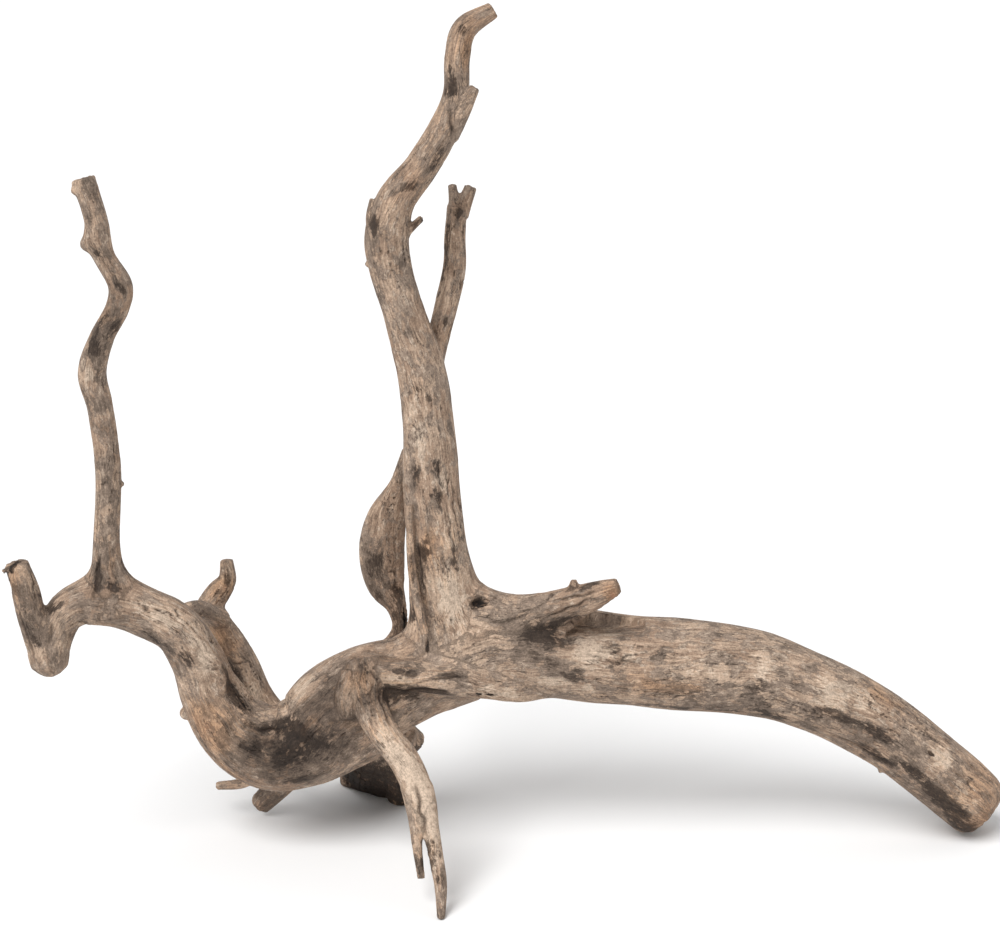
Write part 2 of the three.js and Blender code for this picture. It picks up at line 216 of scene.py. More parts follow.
# stains, and painted shade in the groove under the front ridge, on the buttresses and in the gap
# between the toes: half length along the limb, half width across it, strength
STAINS_AND_SHADE = [
    ("arm", 6.3, 2, 17, 3.5, 1.0), ("arm", 6.9, 6, 14, 4, 1.0), ("arm", 7.05, -27, 16, 4, 1.0),
    ("arm", 7.5, -12, 14, 4, 1.0), ("arm", 7.9, -20, 13, 5, 1.0), ("arm", 8.4, -26, 16, 6, 1.0),
    ("arm", 8.9, -42, 12, 9, 1.0), ("arm", 3.4, -48, 26, 4, 0.6), ("arm", 4.5, -48, 26, 4, 0.6),
    ("arm", 5.5, -38, 20, 5, 0.7), ("arm", 2.75, 20, 6, 9, 0.7), ("arm", 2.1, -8, 5, 9, 0.7),
    ("arm", 3.3, 38, 6, 7, 0.6), ("arm", 1.8, 30, 9, 5, 0.7), ("arm", 1.5, 62, 11, 5, 0.45),
    ("arm", 1.55, 42, 15, 6, 0.6), ("arm", 1.7, 5, 14, 8, 0.45), ("arm", 4.9, 2, 7, 8, 0.6),
    ("stem", 2.45, 30, 9, 3.5, 0.9), ("stem", 2.55, -12, 6, 6, 0.7), ("stem", 2.2, 8, 4, 7, 0.9),
    ("stem", 2.05, -18, 7, 3, 0.8), ("stem", 1.45, 22, 16, 4, 0.5), ("stem", 1.1, -32, 15, 3, 0.6),
    ("stem", 6.9, 32, 16, 4, 0.45), ("stem", 7.5, 32, 5, 4, 0.9), ("stem", 8.1, 12, 9, 5, 0.4),
    ("stem", 8.6, -5, 4, 3, 0.9), ("stem", 9.3, -32, 13, 5, 0.6), ("stem", 11.0, 15, 5, 5, 0.9),
    ("stem", 11.6, 32, 9, 3, 0.8), ("stem", 13.0, 5, 6, 4, 0.8), ("stem", 3.6, -10, 4, 2, 0.9),
    ("strap", 3.3, -10, 24, 11, 0.55), ("strap", 4.4, 35, 5, 4, 1.0), ("strap", 5.4, 0, 11, 6, 0.9),
    ("strap", 6.4, 0, 9, 8, 0.9), ("neck", 4.0, -24, 14, 14, 1.0), ("neck", 5.6, -16, 8, 7, 0.8),
    ("neck", 4.7, -8, 12, 8, 0.6), ("neck", 4.3, 24, 24, 5, 0.6), ("neck", 3.2, -4, 13, 10, 0.6),
    ("neck", 4.6, -50, 13, 5, 0.8), ("neck", 13.0, -45, 9, 6, 0.8), ("neck", 10.9, -50, 13, 5, 0.6),
    ("neck", 9.3, 34, 18, 5, 0.6), ("neck", 8.4, 0, 9, 5, 0.7), ("neck", 7.5, -58, 14, 4, 0.9),
    ("neck", 6.8, -60, 14, 4, 0.9), ("upright", 0.75, 26, 15, 2.5, 0.9), ("upright", 0.55, -20, 9, 5, 0.5),
    ("upright", 4.8, 26, 8, 4, 1.0), ("upright", 5.6, 36, 8, 3, 0.9), ("upright", 5.5, -40, 8, 4, 0.7),
    ("upright", 8.3, 10, 5, 3, 0.9), ("upright", 7.0, 0, 9, 5, 0.5), ("hook", 2.0, 5, 20, 4, 0.55),
    ("hook", 3.6, 62, 9, 4, 1.0), ("hook", 0.8, 10, 10, 6, 0.5), ("branch", 3.9, 52, 13, 2.5, 0.9),
    ("branch", 4.9, -5, 7, 4, 0.8), ("branch", 4.1, -50, 5, 2, 0.9), ("branch", 2.9, 0, 2.4, 1.6, 1.0),
    ("branch", 1.7, -10, 3, 1.6, 0.9), ("branch", 1.2, 20, 3, 2, 0.9), ("branch", 2.6, 62, 22, 1.5, 0.8),
    ("back_root", 1.9, 10, 10, 4, 1.0), ("buttress_a", 1.2, 0, 34, 16, 0.9),
    ("buttress_b", 1.2, 0, 34, 16, 0.9), ("buttress_d", 1.2, 0, 34, 16, 0.9),
    ("buttress_lobe", 1.0, 0, 8, 8, 0.6), ("leg", 0.35, 10, 7, 4, 0.8), ("leg", 2.6, -10, 9, 2, 0.35),
    ("front_ridge", 1.2, 34, 9, 3, 0.7), ("front_ridge", 2.2, 34, 17, 2.5, 0.6),
    ("front_ridge", 1.6, -55, 18, 5, 0.9), ("front_ridge", 0.9, -60, 12, 7, 0.9),
    ("snag", 2.6, -50, 15, 4, 0.6), ("snag", 1.6, -38, 11, 6, 0.5), ("snag", 3.6, 70, 16, 3, 0.8),
    ("snag", 0.12, 48, 8, 6, 0.8), ("stem_twig", 1.5, 0, 8, 4, 0.9), ("stem_flap", 1.0, 0, 10, 3, 0.5),
    ("short_toe", 2.4, 80, 12, 3, 1.0), ("stem", 0.6, 72, 9, 6, 0.9), ("long_toe", 2.9, 0, 4, 3, 0.7),
]

# broad darker areas: soil, and painted shade on the belly, under the arm and on the buttresses:
# half length, half width, strength
SOIL_AND_SHADE_MARKS = [
    ("neck", 3.4, -10, 42, 34, 0.9), ("neck", 5.2, -5, 26, 26, 0.7), ("neck", 2.2, -40, 30, 22, 0.8),
    ("neck", 9.0, 50, 34, 12, 0.5), ("neck", 12.5, 20, 22, 12, 0.4), ("arm", 2.6, 60, 34, 14, 0.5),
    ("arm", 1.8, 20, 30, 22, 0.4), ("arm", 4.6, -50, 60, 16, 0.5), ("arm", 8.4, -50, 60, 16, 0.6),
    ("arm", 6.8, -10, 50, 18, 0.4), ("strap", 3.5, 0, 50, 20, 0.5), ("snag", 2.0, -40, 40, 12, 0.45),
    ("stem", 2.2, 10, 26, 12, 0.3), ("stem", 7.0, 40, 40, 6, 0.3), ("stem", 10.5, 20, 36, 10, 0.3),
    ("upright", 0.7, 10, 26, 12, 0.6), ("upright", 2.2, 0, 60, 12, 0.35), ("upright", 6.0, 30, 50, 9, 0.6),
    ("upright", 9.8, 0, 34, 10, 0.5), ("hook", 2.5, 30, 30, 10, 0.5),
    ("buttress_b", 1.4, 0, 50, 34, 1.0), ("back_root", 2.0, 20, 26, 9, 0.6),
    ("rear_stub", 1.2, 0, 26, 14, 0.7),
]

# bare pale wood where the grey skin has flaked off: half length, half width, strength
PALES = [
    ("arm", 2.28, 28, 10, 11, 1.0), ("arm", 1.8, -20, 7, 4, 1.0), ("arm", 2.3, -24, 4, 3, 0.9),
    ("arm", 2.65, 58, 6, 3, 0.9), ("arm", 3.0, 25, 6, 4, 0.7), ("arm", 6.2, 24, 12, 9, 0.6),
    ("arm", 6.6, 40, 9, 6, 0.5), ("arm", 7.65, 33, 6, 6, 1.0), ("arm", 8.3, 8, 12, 9, 0.4),
    ("arm", 4.0, 16, 15, 5, 0.4), ("arm", 4.9, 26, 6, 7, 0.6), ("stem", 0.8, -12, 15, 8, 1.0),
    ("stem", 1.6, -34, 20, 4, 0.5), ("stem", 3.0, 15, 28, 5, 0.4), ("stem", 2.35, -25, 7, 4, 0.7),
    ("leg", 2.5, 12, 18, 6, 0.9), ("leg", 4.0, 0, 15, 6, 0.9), ("long_toe", 1.2, 0, 26, 5, 1.0),
    ("leg_knuckle", 0.7, 0, 9, 7, 0.9), ("neck", 8.2, -34, 13, 6, 0.8), ("neck", 9.6, -30, 18, 6, 0.6),
    ("neck", 3.2, -72, 11, 8, 0.6), ("back_root", 1.1, -10, 10, 6, 1.0), ("upright", 4.1, 8, 7, 2.2, 1.0),
    ("front_ridge", 1.0, 0, 15, 5, 0.8), ("front_ridge", 3.2, -10, 17, 4, 0.5),
]

# orange-brown wood: half length, half width, strength
WARMS = [
    ("neck", 6.6, 18, 22, 10, 0.8), ("neck", 5.6, 42, 16, 7, 0.5), ("back_stub", 1.5, 0, 10, 9, 0.8),
    ("arm", 3.6, -8, 24, 6, 0.6), ("arm", 6.9, 62, 28, 7, 0.7), ("arm", 9.4, -10, 16, 26, 1.0),
    ("snag", 4.7, 0, 5, 9, 0.9), ("stem", 1.5, 10, 10, 5, 0.5), ("hook", 3.5, 28, 10, 5, 0.6),
    ("branch", 2.0, -60, 11, 4, 0.5), ("upright", 1.0, -30, 10, 3, 0.5), ("stem", 12.2, -45, 10, 3, 0.8),
    ("leg", 0.4, -20, 6, 7, 0.4), ("back_root", 3.0, 0, 12, 8, 0.6),
]


# ---------------------------------------------------------------------------------------------
# Numbers on arrays
# ---------------------------------------------------------------------------------------------

def smooth(low, high, value):
    """Rises from 0 at low to 1 at high as 3t^2 - 2t^3."""
    t = np.clip((value - low) / (high - low), 0, 1)
    return t * t * (3 - 2 * t)


def lattice(i, j, k, seed):
    """A repeatable value from -1 to 1 for each whole-number corner: the corner's numbers are
    multiplied by large odd numbers, mixed by exclusive or and shifts, and scaled."""
    h = (i * 73856093) ^ (j * 19349663) ^ (k * 83492791) ^ (seed * 2654435)
    h = (h ^ (h >> 13)) * 1274126177
    h = (h ^ (h >> 16)) & 0xFFFF
    return h.astype(np.float32) / 32767.5 - 1


def noise(points, seed=0):
    """Value noise: the corner values of the cell that holds a point, blended by the smooth curve
    3t^2 - 2t^3 along each axis. Points are in cells."""
    cell = np.floor(points)
    t = (points - cell).astype(np.float32)
    t = t * t * (3 - 2 * t)
    i, j, k = (cell[:, n].astype(np.int64) for n in range(3))
    u, v, w = t[:, 0], t[:, 1], t[:, 2]

    def row(dj, dk):
        low = lattice(i, j + dj, k + dk, seed)
        return low + (lattice(i + 1, j + dj, k + dk, seed) - low) * u

    a, b = row(0, 0), row(0, 1)
    a += (row(1, 0) - a) * v
    b += (row(1, 1) - b) * v
    return a + (b - a) * w


def soft_min(a, b, k):
    """The smaller of two distances, with a fillet k wide where they are alike."""
    h = np.clip(0.5 + 0.5 * (b - a) / k, 0, 1)
    return b + (a - b) * h - k * h * (1 - h)


# ---------------------------------------------------------------------------------------------
# Limbs
# ---------------------------------------------------------------------------------------------

class Limb:
    """A path through the stations with an ellipse at each of its points.

    Between two stations the path is a centripetal Catmull-Rom curve: a cubic whose speed follows the
    square root of the distance between stations. Its points are then spaced evenly along its length.
    The ellipse's width lies square to the path in the XZ plane and its depth square to both."""

    def __init__(self, number, name, fillet, twist, rough, stations):
        self.name, self.number, self.fillet, self.twist, self.rough = name, number, fillet, twist, rough
        p = np.array(stations, float)
        p = np.vstack([2 * p[0] - p[1], p, 2 * p[-1] - p[-2]])
        gap = np.linalg.norm(np.diff(p[:, :3], axis=0), axis=1) ** 0.5 + 1e-6
        t = np.linspace(0, 1, PATH_STEPS, endpoint=False)[:, None]
        rows = []
        for n in range(1, len(p) - 2):  # one cubic for each pair of stations
            a, b, c = gap[n - 1 : n + 2]
            start = ((p[n] - p[n - 1]) / a - (p[n + 1] - p[n - 1]) / (a + b)) * b + p[n + 1] - p[n]
            stop = ((p[n + 2] - p[n + 1]) / c - (p[n + 2] - p[n]) / (b + c)) * b + p[n + 1] - p[n]
            rows.append(
                (2 * t**3 - 3 * t**2 + 1) * p[n] + (t**3 - 2 * t**2 + t) * start
                + (3 * t**2 - 2 * t**3) * p[n + 1] + (t**3 - t**2) * stop
            )
        rows = np.vstack(rows + [p[-2][None]])
        run = np.concatenate([[0], np.cumsum(np.linalg.norm(np.diff(rows[:, :3], axis=0), axis=1))])
        self.length = run[-1]
        self.at = np.linspace(0, self.length, max(3, int(self.length / PATH_SPACING)))
        even = np.stack([np.interp(self.at, run, rows[:, n]) for n in range(5)], 1)
        self.centre = even[:, :3].astype(np.float32)
        self.wide, self.deep = even[:, 3].astype(np.float32), even[:, 4].astype(np.float32)
        along = np.gradient(even[:, :3], axis=0)
        along /= np.linalg.norm(along, axis=1)[:, None]
        across = np.cross(along, (0.0, 1.0, 0.0))
        across /= np.linalg.norm(across, axis=1)[:, None]
        self.along, self.across = along.astype(np.float32), across.astype(np.float32)
        self.front = np.cross(along, across).astype(np.float32)
        self.marks = np.append(run[:-1:PATH_STEPS], run[-1])
        self.radius = float(np.sqrt(self.wide * self.deep).mean())
        reach = max(self.wide.max(), self.deep.max())
        self.low = self.centre.min(0) - reach
        self.high = self.centre.max(0) + reach

    def near(self, points, margin):
        """Which points lie in the limb's box, grown by a margin."""
        return np.flatnonzero(
            ((points > self.low - margin) & (points < self.high + margin)).all(1)
        )

    def locate(self, points):
        """For each point: how far along the limb it is, its offset across and to the front of the path,
        its distance to the limb's surface, and the limb's radius there. The nearest path point comes
        from the largest point . centre - centre^2 / 2. The distance is reach (1 - 1 / ratio), where
        ratio is the offset measured in half axes. Past an end, it is the hypotenuse of that, where
        it is above zero, and of the distance past the end."""
        index = np.empty(len(points), np.int64)
        half = 0.5 * (self.centre**2).sum(1)
        batch = 1 << 16
        for n in range(0, len(points), batch):
            index[n : n + batch] = (points[n : n + batch] @ self.centre.T - half).argmax(1)
        offset = points - self.centre[index]
        t = (offset * self.along[index]).sum(1)
        a = (offset * self.across[index]).sum(1)
        b = (offset * self.front[index]).sum(1)
        s = self.at[index].astype(np.float32) + t
        wide = np.interp(s, self.at, self.wide).astype(np.float32)
        deep = np.interp(s, self.at, self.deep).astype(np.float32)
        reach = np.sqrt(a * a + b * b) + 1e-4
        ratio = np.maximum(np.sqrt((a / wide) ** 2 + (b / deep) ** 2), 0.02)
        side = reach * (1 - 1 / ratio)
        past = np.maximum(s - self.length, -s)
        return s, a, b, np.where(past > 0, np.hypot(past, np.maximum(side, 0)), side), np.sqrt(wide * deep)

    def spot(self, station, side):
        """The place on the limb's own surface at a station and side, with the directions along the
        limb, round it and out of it."""
        run = np.interp(station, np.arange(len(self.marks)), self.marks)
        n = int(round(run / self.length * (len(self.at) - 1)))
        c, d = math.cos(math.radians(side)), math.sin(math.radians(side))
        place = self.centre[n] + self.front[n] * self.deep[n] * c + self.across[n] * self.wide[n] * d
        out = self.front[n] * c / self.deep[n] + self.across[n] * d / self.wide[n]
        out = out / np.linalg.norm(out)
        return place, self.along[n], np.cross(out, self.along[n]), out

    def grain(self, s, a, b, local):
        """Where a point lies in the straightened limb: its direction from the path, turned by the
        twist and scaled to a radius between the limb's mean and its local one, and its distance
        along, which starts further on for each limb."""
        turn = self.twist * 0.01 * s
        c, d = np.cos(turn), np.sin(turn)
        reach = np.sqrt(a * a + b * b) + 1e-4
        r = np.sqrt(self.radius * local)
        x, y = (a * c - b * d) / reach * r, (a * d + b * c) / reach * r
        return np.stack([x, y, s + GRAIN_SHIFT * (self.number + 1)], 1)


LIMB_LIST = [Limb(n, name, *row) for n, (name, row) in enumerate(LIMBS.items())]
BY_NAME = {limb.name: limb for limb in LIMB_LIST}


def turned(along, around, turn):
    """The direction that lies a turn in degrees from the limb's own, on its surface."""
    return along * math.cos(math.radians(turn)) + around * math.sin(math.radians(turn))


def near_place(points, place, reach):
    """Which points lie in a cube round a place."""
    return np.flatnonzero((np.abs(points - np.array(place, np.float32)) < reach).all(1))


def root_field(points):
    """Distance to the root's surface: the limbs and nubs joined by soft minima, less the breaks, the
    hollows and the ground."""
    field = np.full(len(points), FAR, np.float32)
    for limb in LIMB_LIST:
        pick = limb.near(points, LIMB_MARGIN)
        if not len(pick):
            continue
        d = limb.locate(points[pick])[3]
        field[pick] = soft_min(field[pick], d, limb.fillet)
    balls = list(BENDS)
    for name, at, side, radius, fillet in NUBS:
        balls.append((BY_NAME[name].spot(at, side)[0], radius, fillet))
    for centre, radius, fillet in balls:
        pick = near_place(points, centre, radius + BALL_MARGIN)
        d = np.linalg.norm(points[pick] - np.array(centre, np.float32), axis=1) - radius
        field[pick] = soft_min(field[pick], d, fillet)
    for at, facing, rounding, reach in BREAKS:
        pick = near_place(points, at, reach)
        offset = points[pick] - np.array(at, np.float32)
        past = offset @ (np.array(facing, np.float32) / np.linalg.norm(facing))
        torn = 0.9 * noise(offset / 5.0, 41) + 0.5 * noise(offset / 2.0, 42)
        field[pick] = -soft_min(-field[pick], -(past + torn), rounding)
    for name, at, side, turn, long, thin in HOLLOWS:
        place, along, around, _ = BY_NAME[name].spot(at, side)
        pick = near_place(points, place, long + thin + 3)
        offset = points[pick] - place
        heading = turned(along, around, turn)
        t = np.clip(offset @ heading, -long, long)
        width = thin * np.sqrt(np.maximum(1 - (t / (long + thin)) ** 2, 0.05))
        width = width + 0.6 * thin * noise(offset / (0.6 * thin + 0.5), 43)
        pit = np.linalg.norm(offset - t[:, None] * heading, axis=1) - width
        field[pick] = -soft_min(-field[pick], pit, HOLLOW_RIM)
    return np.maximum(field, GROUND_GAP - points[:, 2])


def grow_surface(voxel):
    """The zero surface of the root's field, sampled on a grid. A coarse grid finds the blocks that the
    surface passes through, only those are sampled finely, and the quads come out of the grid."""
    step = voxel * COARSE
    low = np.min([limb.low for limb in LIMB_LIST], 0) - GRID_MARGIN
    low[2] = GRID_FLOOR
    high = np.max([limb.high for limb in LIMB_LIST], 0) + GRID_MARGIN
    count = np.ceil((high - low) / step).astype(int)
    i = [np.arange(n, dtype=np.float32) for n in count]
    block = np.stack(np.meshgrid(*i, indexing="ij"), -1).reshape(-1, 3)
    middle = (low + (block + (COARSE - 1) / (2 * COARSE)) * step).astype(np.float32)
    coarse = root_field(middle)
    dense = coarse.reshape(count)
    for axis in range(3):
        dense = np.repeat(dense, COARSE, axis)
    close = np.flatnonzero(np.abs(coarse) < 1.25 * step + 1.5)
    inner = np.stack(np.meshgrid(*[np.arange(COARSE)] * 3, indexing="ij"), -1).reshape(-1, 3)
    cells = (block[close].astype(int)[:, None] * COARSE + inner[None]).reshape(-1, 3)
    batch = 1 << 20
    for n in range(0, len(cells), batch):
        part = cells[n : n + batch]
        dense[part[:, 0], part[:, 1], part[:, 2]] = root_field((low + part * voxel).astype(np.float32))
    grid = openvdb.FloatGrid(FIELD_LIMIT)
    grid.copyFromArray(np.clip(dense, -FIELD_LIMIT, FIELD_LIMIT).astype(np.float32))
    points, quads = grid.convertToQuads(isovalue=0.0)
    return (low + points * voxel).astype(np.float32), quads


def lay_on_limbs(points):
    """For each point: the grain coordinates on its two nearest limbs, how much of the second to mix
    in, and the roughness and local radius of both. The share of the second is a half where both are
    equally near, and falls to nothing as 0.5 (1 - difference / blend)^2."""
    count = len(points)
    best = np.full((2, count), 1e3, np.float32)
    where = np.zeros((2, count, 3), np.float32)
    rough = np.zeros((2, count), np.float32)
    thick = np.ones((2, count), np.float32)
    for limb in LIMB_LIST:
        pick = limb.near(points, LIMB_MARGIN)
        if not len(pick):
            continue
        s, a, b, d, local = limb.locate(points[pick])
        spot = limb.grain(s, a, b, local)
        first = d < best[0, pick]
        second = ~first & (d < best[1, pick])
        f, g = pick[first], pick[second]
        for found in (best, where, rough, thick):
            found[1, f] = found[0, f]
        best[0, f], where[0, f], rough[0, f], thick[0, f] = d[first], spot[first], limb.rough, local[first]
        best[1, g], where[1, g], rough[1, g], thick[1, g] = d[second], spot[second], limb.rough, local[second]
    mix = 0.5 * (1 - np.clip((best[1] - best[0]) / GRAIN_BLEND, 0, 1)) ** 2
    return where[0], where[1], mix, rough, thick


def relief(spot, rough, thick):
    """Height of the wood's skin in mm at grain coordinates, and how cracked it is. It adds, from broad
    to fine, lumps, flutes along the limb, ridges and fibres, each a noise stretched along the grain.
    It takes away worn patches, and drying cracks, thin lines where a stretched noise crosses zero."""

    def stretched(across, along, seed):
        return noise(spot / np.array([across, across, along], np.float32), seed)

    scale = np.clip(thick / 20, 0.25, 1.3)
    lumps, flutes = stretched(14, 26, 1), stretched(7, 50, 2)
    ridges, fibres = stretched(3.1, 30, 3), stretched(1.5, 16, 4)
    height = scale * (1.25 * rough * lumps + rough * 0.5 * flutes) + rough * 0.22 * ridges
    height += rough * 0.1 * fibres
    flaking = stretched(7, 13, 5) + 0.45 * stretched(3, 6, 6) + 0.25 * stretched(1.3, 3, 10)
    height -= 0.16 * rough * smooth(0.02, 0.12, flaking)
    line = np.abs(stretched(4.2, 36, 7) + 0.3 * stretched(1.7, 9, 8))
    crack = (1 - smooth(0.01, 0.06, line)) * smooth(0.15, 0.4, stretched(9, 30, 9))
    height -= crack * np.minimum(0.7 * rough, 0.1 * thick + 0.2)
    return height, crack


def weather(points, quads):
    """Presses the relief and the drying cracks into a smooth surface along its normals. The relief is
    blended between neighbouring limbs and fades out at the ground. A normal is the sum of the cross
    products of the diagonals of the quads round its vertex, made one long."""
    first, second, mix, rough, thick = lay_on_limbs(points)
    h0 = relief(first, rough[0], thick[0])[0]
    h1 = relief(second, rough[1], thick[1])[0]
    height = h0 * (1 - mix) + h1 * mix
    height -= cracks_at(points)[1]
    corner = points[quads]
    flat = np.cross(corner[:, 2] - corner[:, 0], corner[:, 3] - corner[:, 1])
    normal = np.zeros_like(points)
    for n in range(4):
        for axis in range(3):
            normal[:, axis] += np.bincount(quads[:, n], flat[:, axis], len(points))
    normal /= np.linalg.norm(normal, axis=1)[:, None] + 1e-9
    grounded = smooth(*RELIEF_FADE, points[:, 2])
    moved = points + normal * (height * grounded)[:, None]
    moved[:, 2] = np.maximum(moved[:, 2], 0.0)
    return moved


def cracks_at(points):
    """How cracked the skin is at each point, from 0 to 1, and how deep: e^-(v/width)^2 across each
    drying crack, fading out along it as 1 - (u/length)^4, on a line that wanders from side to side.
    A point further than CRACK_REACH in or out from the crack's place isn't cracked."""
    shade = np.zeros(len(points), np.float32)
    depth = np.zeros(len(points), np.float32)
    for n, (name, at, side, turn, long, wide, deep) in enumerate(CRACKS):
        place, along, around, out = BY_NAME[name].spot(at, side)
        pick = near_place(points, place, long + 4)
        offset = points[pick] - place
        heading = turned(along, around, turn)
        u = offset @ heading
        v = offset @ np.cross(out, heading) + 1.3 * noise(np.stack([u / 6, u * 0 + n, u * 0], 1), 44)
        fade = np.clip(1 - (u / long) ** 4, 0, 1) * (np.abs(offset @ out) < CRACK_REACH)
        line = fade * np.exp(-((v / wide) ** 2))
        shade[pick] = np.maximum(shade[pick], line)
        depth[pick] = np.maximum(depth[pick], deep * line)
    return shade, depth


def marks_at(points, table):
    """Adds up soft ovals laid on the limbs: strength times e^-q, where q is (along / length)^2 +
    (round / width)^2 + (out / depth)^2. The sum stays between 0 and 1."""
    total = np.zeros(len(points), np.float32)
    for name, at, side, long, wide, strength in table:
        place, along, around, out = BY_NAME[name].spot(at, side)
        pick = near_place(points, place, 2.4 * max(long, wide, 6))
        offset = points[pick] - place
        q = (offset @ along / long) ** 2 + (offset @ around / wide) ** 2
        q += (offset @ out / MARK_DEPTH) ** 2
        total[pick] += strength * np.exp(-q)
    return np.clip(total, 0, 1)


def store(mesh, name, kind, values):
    """Keeps one value or one vector for each vertex, under a name that the material reads."""
    layer = mesh.attributes.new(name, kind, "POINT")
    field = "vector" if kind == "FLOAT_VECTOR" else "value"
    layer.data.foreach_set(field, np.ascontiguousarray(values, np.float32).ravel())


# ---------------------------------------------------------------------------------------------
# Materials
# ---------------------------------------------------------------------------------------------

class Nodes:
    """A short way to add nodes: each call makes one, sets its values and links its inputs."""

    def __init__(self, tree):
        self.tree = tree

    def add(self, kind, inputs=None, **settings):
        """One node of a kind. An input is a value or another node's output."""
        made = self.tree.nodes.new("ShaderNode" + kind)
        for key, value in settings.items():
            setattr(made, key, value)
        for key, value in (inputs or {}).items():
            socket = made.inputs[key]
            if isinstance(value, bpy.types.NodeSocket):
                self.tree.links.new(value, socket)
            else:
                socket.default_value = value
        return made

    def scaled(self, vector, factors):
        """A vector with each part times its own factor."""
        return self.add("VectorMath", {0: vector, 1: factors}, operation="MULTIPLY").outputs[0]

    def sum(self, *values):
        """Any number of values added up."""
        total = values[0]
        for value in values[1:]:
            total = self.math("ADD", total, value)
        return total

    def around(self, value, size):
        """A noise taken round its middle of a half, times a size."""
        return self.math("MULTIPLY", self.math("SUBTRACT", value, 0.5), size)

    def math(self, operation, a, b=0.0, c=0.0):
        """One operation on up to three values."""
        return self.add("Math", {0: a, 1: b, 2: c}, operation=operation).outputs[0]

    def mix(self, factor, a, b, blend="MIX"):
        """From one colour to another. The node has sockets for every kind, and 6 and 7 are colours."""
        made = self.add("Mix", {0: factor, 6: a, 7: b}, data_type="RGBA", blend_type=blend)
        return made.outputs[2]

    def between(self, factor, a, b):
        """From one value to another, which are the same node's sockets 2 and 3."""
        return self.add("Mix", {0: factor, 2: a, 3: b}, data_type="FLOAT").outputs[0]

    def band(self, value, low, high):
        """Rises smoothly from 0 at low to 1 at high."""
        limits = {0: value, 1: low, 2: high, 3: 0.0, 4: 1.0}
        return self.add("MapRange", limits, interpolation_type="SMOOTHSTEP").outputs[0]


def linear(red, green, blue):
    """A display colour from 0 to 255 as the linear values that shaders use."""
    shown = [v / 255 for v in (red, green, blue)]
    return tuple(v / 12.92 if v <= 0.04045 else ((v + 0.055) / 1.055) ** 2.4 for v in shown)


def wood_colour(name, description, red, green, blue):
    """A colour that a user can change, from its display values."""
    return bpy.props.FloatVectorProperty(
        name=name, description=description, default=linear(red, green, blue),
        size=3, min=0, max=1, subtype="COLOR")


# tints that multiply the wood's own colour: rusty wood, soil with painted shade, and dark stains with
# painted shade
RUST = (1.0, 0.8, 0.62, 1.0)
SOIL_AND_SHADE_TINT = (0.42, 0.4, 0.39, 1.0)
STAIN_AND_SHADE_TINT = (0.24, 0.22, 0.21, 1.0)


def grain_group():
    """Noises stretched along the grain, from grain coordinates in mm."""
    group = bpy.data.node_groups.new("wood_grain", "ShaderNodeTree")
    group.interface.new_socket("Grain", in_out="INPUT", socket_type="NodeSocketVector")
    for name in ("Hair", "Streak", "Patch", "Flake", "Crack"):
        group.interface.new_socket(name, in_out="OUTPUT", socket_type="NodeSocketFloat")
    n = Nodes(group)
    start = group.nodes.new("NodeGroupInput")
    end = group.nodes.new("NodeGroupOutput")
    slow = n.scaled(start.outputs[0], (0.06, 0.06, 0.04))
    bend = n.add("TexNoise", {"Vector": slow, "Scale": 1.0, "Detail": 3.0}).outputs["Color"]
    sway = n.add("VectorMath", {0: bend, 1: (0.5, 0.5, 0.5)}, operation="SUBTRACT").outputs[0]
    sway = n.scaled(sway, (7.0, 7.0, 0.0))
    spot = n.add("VectorMath", {0: start.outputs[0], 1: sway}, operation="ADD").outputs[0]

    def stretched(across, along, detail=2.0, rough=0.55):
        cell = n.scaled(spot, (1 / across, 1 / across, 1 / along))
        settings = {"Vector": cell, "Scale": 1.0, "Detail": detail, "Roughness": rough}
        return n.add("TexNoise", settings).outputs[0]

    line = n.math("ABSOLUTE", n.math("SUBTRACT", stretched(2.2, 24, 3.0), 0.5))
    crack = n.math("SUBTRACT", 1.0, n.band(line, 0.003, 0.014))
    values = {
        "Hair": stretched(0.45, 12, 3.0, 0.6),
        "Streak": stretched(1.5, 26, 3.0, 0.6),
        "Patch": stretched(8.0, 14, 7.0, 0.66),
        "Flake": stretched(2.6, 6.5, 5.0, 0.66),
        "Crack": n.math("MULTIPLY", crack, n.band(stretched(7, 22, 2.0), 0.55, 0.64)),
    }
    for name, value in values.items():
        group.links.new(value, end.inputs[name])
    return group


